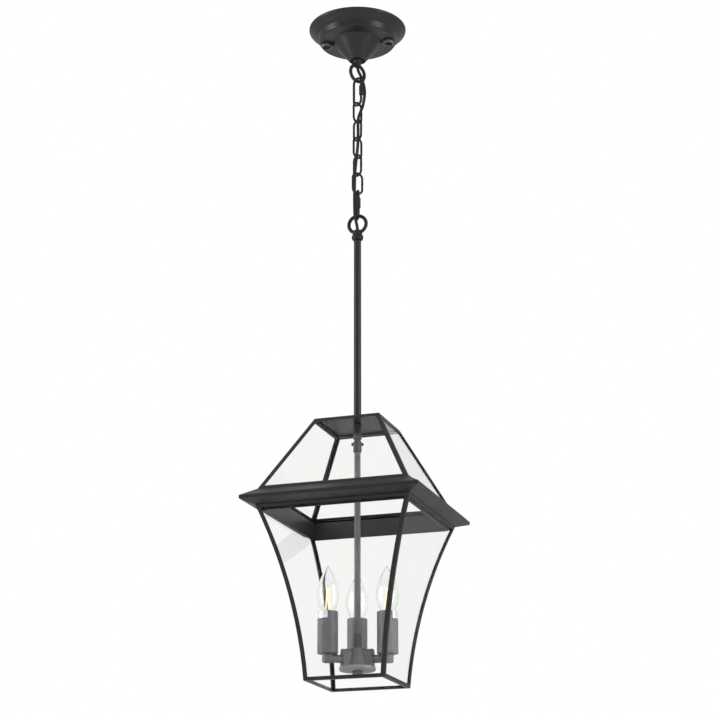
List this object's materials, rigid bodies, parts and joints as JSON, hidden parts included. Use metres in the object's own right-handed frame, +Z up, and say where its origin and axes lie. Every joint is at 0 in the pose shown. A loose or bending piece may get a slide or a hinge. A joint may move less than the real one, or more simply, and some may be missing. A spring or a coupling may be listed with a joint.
{
  "type": "hanging lantern",
  "caption": "Hanging lantern with a glazed flared steel cage and a cluster of candle lamps, on a stem, chain and round ceiling canopy.",
  "frame": {"origin": "middle of the ceiling bracket's top face, where it meets the ceiling", "axes": "+Z up out of the ceiling face; +X and -Y are the directions that the cage's right and front panes face"},
  "size_m": [0.2886, 0.2886, 1.124],
  "materials": {
    "black_paint": "satin black powder coat",
    "black_hardware": "satin black plated and painted wire",
    "inner_paint": "satin dark grey powder coat",
    "zinc_steel": "zinc plated",
    "holder_plastic": "matt moulded",
    "cord_jacket": "matt black cord",
    "contact_brass": "plain",
    "cap_nickel": "nickel plated",
    "bulb_glass": "clear blown",
    "pane_glass": "clear float",
    "filament": "warm glowing filament",
    "foil_label": "plain silver foil"
  },
  "bodies": {
    "canopy": {"ceiling_bracket": "zinc_steel", "canopy": "black_paint", "canopy_nut_right": "black_hardware", "canopy_nut_left": "black_hardware", "canopy_loop": "black_hardware", "loop_locknut": "zinc_steel", "terminal_block": "holder_plastic", "supply_cord": "cord_jacket"},
    "top_link": {"top_quick_link": "black_hardware", "top_quick_link_nut": "black_hardware"},
    "link_1": {"chain_link_1": "black_hardware"},
    "link_2": {"chain_link_2": "black_hardware"},
    "link_3": {"chain_link_3": "black_hardware"},
    "link_4": {"chain_link_4": "black_hardware"},
    "link_5": {"chain_link_5": "black_hardware"},
    "bottom_link": {"bottom_quick_link": "black_hardware", "bottom_quick_link_nut": "black_hardware"},
    "lantern": {"stem_loop": "black_hardware", "stem": "black_paint", "stem_wire": "cord_jacket", "roof_plate": "black_paint", "upper_frame": "black_paint", "band": "black_paint", "lower_frame": "black_paint", "upper_glass_front": "pane_glass", "lower_glass_front": "pane_glass", "upper_glass_right": "pane_glass", "lower_glass_right": "pane_glass", "upper_glass_back": "pane_glass", "lower_glass_back": "pane_glass", "upper_glass_left": "pane_glass", "lower_glass_left": "pane_glass", "coupling_collar": "inner_paint", "coupling": "inner_paint", "thumbscrew_right": "black_hardware", "thumbscrew_left": "black_hardware", "inner_rod": "inner_paint", "rod_nut": "inner_paint", "hub_cover": "inner_paint", "hub_base": "inner_paint", "hub_finial": "inner_paint", "arm_1": "inner_paint", "sleeve_1": "inner_paint", "lampholder_1": "holder_plastic", "arm_2": "inner_paint", "sleeve_2": "inner_paint", "lampholder_2": "holder_plastic", "arm_3": "inner_paint", "sleeve_3": "inner_paint", "lampholder_3": "holder_plastic"},
    "bulb_1_contact": {"bulb_contact_1": "contact_brass"},
    "bulb_1": {"bulb_cap_1": "cap_nickel", "bulb_glass_1": "bulb_glass"},
    "bulb_2_contact": {"bulb_contact_2": "contact_brass"},
    "bulb_2": {"bulb_cap_2": "cap_nickel", "bulb_glass_2": "bulb_glass"},
    "bulb_3_contact": {"bulb_contact_3": "contact_brass"},
    "bulb_3": {"bulb_cap_3": "cap_nickel", "bulb_glass_3": "bulb_glass"}
  },
  "joints": [
    {"name": "top_link_swing", "type": "hinge", "parent": "canopy", "child": "top_link", "pos_m": [0, 0, -0.0981], "axis": [0.5299, 0.848, 0], "range_deg": [-12, 12], "deforming": ["supply_cord"]},
    {"name": "link_1_swing", "type": "hinge", "parent": "top_link", "child": "link_1", "pos_m": [0, 0, -0.1431], "axis": [0.8829, -0.4695, 0], "range_deg": [-12, 12]},
    {"name": "link_2_swing", "type": "hinge", "parent": "link_1", "child": "link_2", "pos_m": [0, 0, -0.1755], "axis": [0.4695, 0.8829, 0], "range_deg": [-12, 12]},
    {"name": "link_3_swing", "type": "hinge", "parent": "link_2", "child": "link_3", "pos_m": [0, 0, -0.2081], "axis": [0.8829, -0.4695, 0], "range_deg": [-12, 12]},
    {"name": "link_4_swing", "type": "hinge", "parent": "link_3", "child": "link_4", "pos_m": [0, 0, -0.2407], "axis": [0.4695, 0.8829, 0], "range_deg": [-12, 12]},
    {"name": "link_5_swing", "type": "hinge", "parent": "link_4", "child": "link_5", "pos_m": [0, 0, -0.2733], "axis": [0.8829, -0.4695, 0], "range_deg": [-12, 12]},
    {"name": "bottom_link_swing", "type": "hinge", "parent": "link_5", "child": "bottom_link", "pos_m": [0, 0, -0.3059], "axis": [0.6947, 0.7193, 0], "range_deg": [-12, 12]},
    {"name": "lantern_swing", "type": "hinge", "parent": "bottom_link", "child": "lantern", "pos_m": [0, 0, -0.3519], "axis": [0.5, -0.866, 0], "range_deg": [-12, 12]},
    {"name": "bulb_1_rise", "type": "slide", "parent": "lantern", "child": "bulb_1_contact", "axis": [0, 0, 1], "range_m": [0, 0.01128]},
    {"name": "bulb_1_turn", "type": "hinge", "parent": "bulb_1_contact", "child": "bulb_1", "pos_m": [0.04832, 0.00084, -1.034], "axis": [0, 0, 1], "range_deg": [0, 1440]},
    {"name": "bulb_2_rise", "type": "slide", "parent": "lantern", "child": "bulb_2_contact", "axis": [0, 0, 1], "range_m": [0, 0.01128]},
    {"name": "bulb_2_turn", "type": "hinge", "parent": "bulb_2_contact", "child": "bulb_2", "pos_m": [-0.01573, 0.0457, -1.034], "axis": [0, 0, 1], "range_deg": [0, 1440]},
    {"name": "bulb_3_rise", "type": "slide", "parent": "lantern", "child": "bulb_3_contact", "axis": [0, 0, 1], "range_m": [0, 0.01128]},
    {"name": "bulb_3_turn", "type": "hinge", "parent": "bulb_3_contact", "child": "bulb_3", "pos_m": [-0.0386, -0.02908, -1.034], "axis": [0, 0, 1], "range_deg": [0, 1440]}
  ],
  "couplings": [
    {"joint": "bulb_1_turn", "follows": "bulb_1_rise", "rad_per_m": 2228.1},
    {"joint": "bulb_2_turn", "follows": "bulb_2_rise", "rad_per_m": 2228.1},
    {"joint": "bulb_3_turn", "follows": "bulb_3_rise", "rad_per_m": 2228.1}
  ]
}
